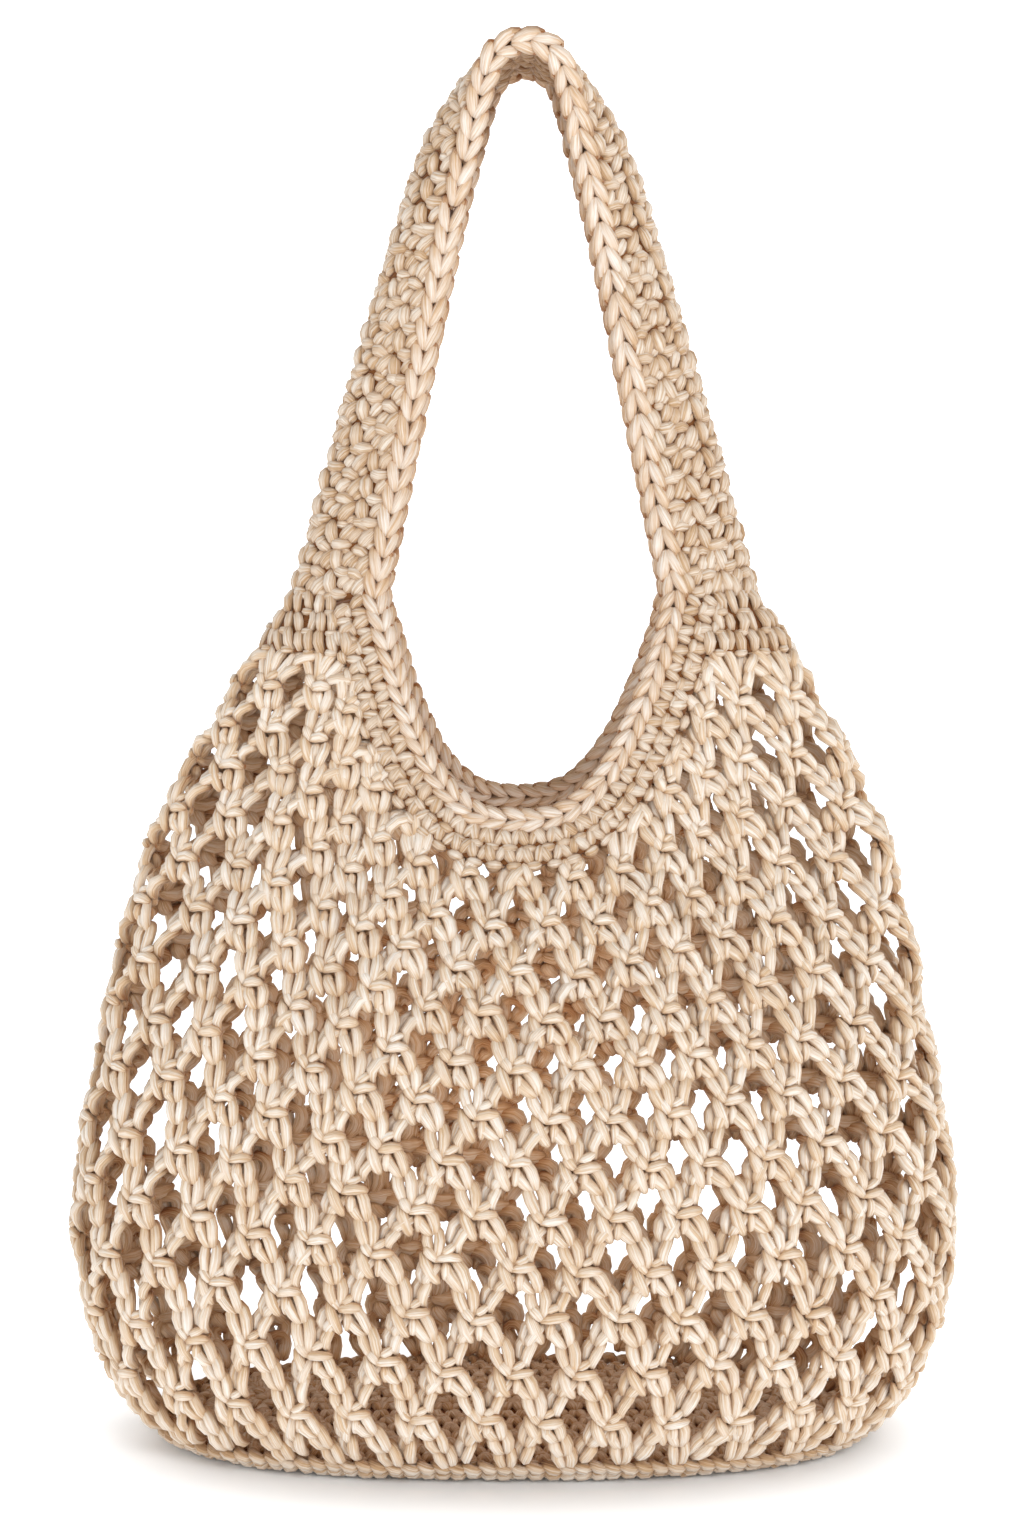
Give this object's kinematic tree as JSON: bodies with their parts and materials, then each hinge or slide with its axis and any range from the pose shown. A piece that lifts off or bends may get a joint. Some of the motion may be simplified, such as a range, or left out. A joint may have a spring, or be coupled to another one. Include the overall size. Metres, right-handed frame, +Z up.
{
  "type": "string shopping bag",
  "caption": "Crocheted open-net shopping bag with a dense oval base, a banded U-shaped neck and a wide shoulder strap folded down its legs.",
  "frame": {"origin": "middle of the flat underside of the base, on the surface that the bag stands on", "axes": "+Z up from the base to the crown of the strap, +X across the bag's width to the right as seen from the front, +Y through its depth to the back"},
  "size_m": [0.3806, 0.1626, 0.5838],
  "materials": {
    "net_cotton": "matte twisted cotton cord, crocheted as an open net",
    "dense_cotton": "matte cotton cord in dense single crochet",
    "edge_cotton": "matte cotton cord in a chain-like edging"
  },
  "bodies": {
    "root": {"base_panel": "dense_cotton", "net_body": "net_cotton", "neck_band_front": "dense_cotton", "neck_band_back": "dense_cotton", "yoke_left": "dense_cotton", "yoke_right": "dense_cotton", "shoulder_strap": "dense_cotton", "edging_front": "edge_cotton", "edging_back": "edge_cotton"}
  },
  "joints": []
}
